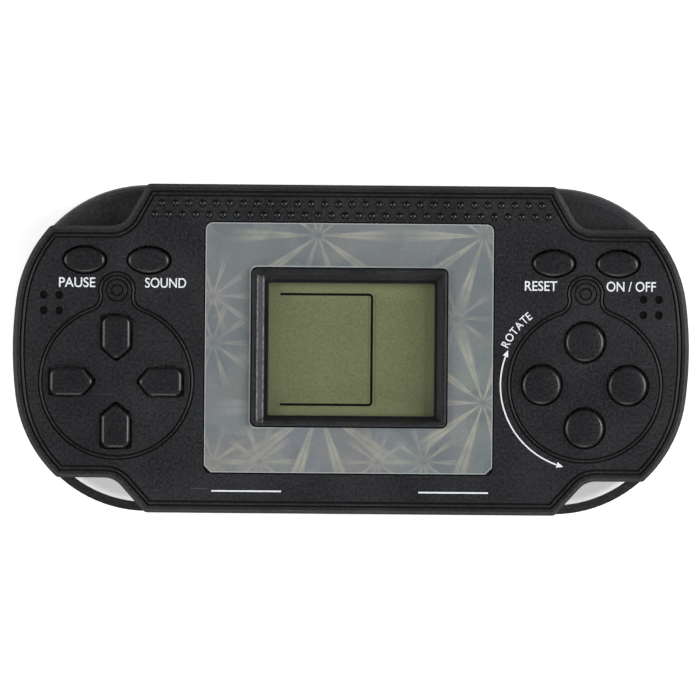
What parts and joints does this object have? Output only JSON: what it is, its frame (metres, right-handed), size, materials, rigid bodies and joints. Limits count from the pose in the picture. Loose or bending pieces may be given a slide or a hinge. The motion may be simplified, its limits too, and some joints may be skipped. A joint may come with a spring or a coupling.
{
  "type": "handheld electronic game console",
  "caption": "Flat handheld brick-game console with a framed display, direction keys on the left, round keys on the right, small oval keys and a sliding battery door.",
  "frame": {"origin": "middle of the case outline, on the flat rear face that it lies on", "axes": "+Z out of the front face, +X along the length towards the round keys, +Y towards the edge with the shoulder pads"},
  "size_m": [0.14, 0.068, 0.0212],
  "materials": {
    "case_abs": "dark grey moulded ABS, fine satin texture",
    "rear_abs": "darker grey moulded ABS, satin",
    "key_abs": "near-black moulded ABS, smooth satin",
    "silver_film": "silver holographic film on card",
    "clear_window": "clear moulded polystyrene",
    "polariser_film": "neutral polariser film",
    "display_glass": "polished display glass",
    "reflector_film": "yellow-green reflective polariser film",
    "foam": "soft closed-cell foam",
    "zebra_rubber": "layered conductive and insulating silicone",
    "board_laminate": "single-sided phenolic laminate",
    "black_epoxy": "cast black epoxy",
    "sleeve_film": "shrunk vinyl sleeve on an aluminium can",
    "ceramic_body": "dipped ceramic",
    "silicone_rubber": "translucent grey silicone rubber",
    "sounder_brass": "rolled brass sheet",
    "white_ceramic": "silvered piezo ceramic",
    "black_wire": "black vinyl insulation",
    "red_wire": "red vinyl insulation",
    "plated_steel": "nickel-plated spring steel",
    "cell_jacket": "printed steel jacket, bare ends",
    "screw_steel": "zinc-plated steel"
  },
  "bodies": {
    "case": {"battery_wire_black": "black_wire", "battery_wire_red": "red_wire", "board_screws": "screw_steel", "bridge_plate": "plated_steel", "bridge_spring": "plated_steel", "case_screws": "screw_steel", "cell_lower": "cell_jacket", "cell_upper": "cell_jacket", "chip_blob": "black_epoxy", "chip_resistors": "ceramic_body", "disc_capacitors": "ceramic_body", "electrolytic_capacitor": "sleeve_film", "foam_pad": "foam", "front_glass": "display_glass", "front_polariser": "polariser_film", "front_shell": "case_abs", "left_keypad": "silicone_rubber", "main_board": "board_laminate", "negative_plate": "plated_steel", "negative_spring": "plated_steel", "positive_plate": "plated_steel", "rear_glass": "display_glass", "rear_reflector": "reflector_film", "rear_shell": "rear_abs", "right_keypad": "silicone_rubber", "screen_window": "clear_window", "silver_card": "silver_film", "sounder_ceramic": "white_ceramic", "sounder_disc": "sounder_brass", "sounder_wire_black": "black_wire", "sounder_wire_red": "red_wire", "zebra_strip": "zebra_rubber"},
    "battery_door": {"battery_door": "rear_abs"},
    "button_bottom": {"button_bottom": "key_abs"},
    "button_left": {"button_left": "key_abs"},
    "button_right": {"button_right": "key_abs"},
    "button_top": {"button_top": "key_abs"},
    "key_down": {"key_down": "key_abs"},
    "key_left": {"key_left": "key_abs"},
    "key_pause": {"key_pause": "key_abs"},
    "key_power": {"key_power": "key_abs"},
    "key_reset": {"key_reset": "key_abs"},
    "key_right": {"key_right": "key_abs"},
    "key_sound": {"key_sound": "key_abs"},
    "key_up": {"key_up": "key_abs"}
  },
  "joints": [
    {"name": "button_bottom_press", "type": "slide", "parent": "case", "child": "button_bottom", "axis": [0, 0, -1], "range_m": [0, 0.0007], "stiffness_N_per_m": 1500, "springref_m": -0.0002, "deforming": ["right_keypad"]},
    {"name": "button_left_press", "type": "slide", "parent": "case", "child": "button_left", "axis": [0, 0, -1], "range_m": [0, 0.0007], "stiffness_N_per_m": 1500, "springref_m": -0.0002, "deforming": ["right_keypad"]},
    {"name": "button_right_press", "type": "slide", "parent": "case", "child": "button_right", "axis": [0, 0, -1], "range_m": [0, 0.0007], "stiffness_N_per_m": 1500, "springref_m": -0.0002, "deforming": ["right_keypad"]},
    {"name": "button_top_press", "type": "slide", "parent": "case", "child": "button_top", "axis": [0, 0, -1], "range_m": [0, 0.0007], "stiffness_N_per_m": 1500, "springref_m": -0.0002, "deforming": ["right_keypad"]},
    {"name": "key_down_press", "type": "slide", "parent": "case", "child": "key_down", "axis": [0, 0, -1], "range_m": [0, 0.0007], "stiffness_N_per_m": 1500, "springref_m": -0.0002, "deforming": ["left_keypad"]},
    {"name": "key_left_press", "type": "slide", "parent": "case", "child": "key_left", "axis": [0, 0, -1], "range_m": [0, 0.0007], "stiffness_N_per_m": 1500, "springref_m": -0.0002, "deforming": ["left_keypad"]},
    {"name": "key_pause_press", "type": "slide", "parent": "case", "child": "key_pause", "axis": [0, 0, -1], "range_m": [0, 0.0007], "stiffness_N_per_m": 1500, "springref_m": -0.0002, "deforming": ["left_keypad"]},
    {"name": "key_power_press", "type": "slide", "parent": "case", "child": "key_power", "axis": [0, 0, -1], "range_m": [0, 0.0007], "stiffness_N_per_m": 1500, "springref_m": -0.0002, "deforming": ["right_keypad"]},
    {"name": "key_reset_press", "type": "slide", "parent": "case", "child": "key_reset", "axis": [0, 0, -1], "range_m": [0, 0.0007], "stiffness_N_per_m": 1500, "springref_m": -0.0002, "deforming": ["right_keypad"]},
    {"name": "key_right_press", "type": "slide", "parent": "case", "child": "key_right", "axis": [0, 0, -1], "range_m": [0, 0.0007], "stiffness_N_per_m": 1500, "springref_m": -0.0002, "deforming": ["left_keypad"]},
    {"name": "key_sound_press", "type": "slide", "parent": "case", "child": "key_sound", "axis": [0, 0, -1], "range_m": [0, 0.0007], "stiffness_N_per_m": 1500, "springref_m": -0.0002, "deforming": ["left_keypad"]},
    {"name": "key_up_press", "type": "slide", "parent": "case", "child": "key_up", "axis": [0, 0, -1], "range_m": [0, 0.0007], "stiffness_N_per_m": 1500, "springref_m": -0.0002, "deforming": ["left_keypad"]},
    {"name": "battery_door_slide", "type": "slide", "parent": "case", "child": "battery_door", "axis": [0, -1, 0], "range_m": [0, 0.028]}
  ]
}
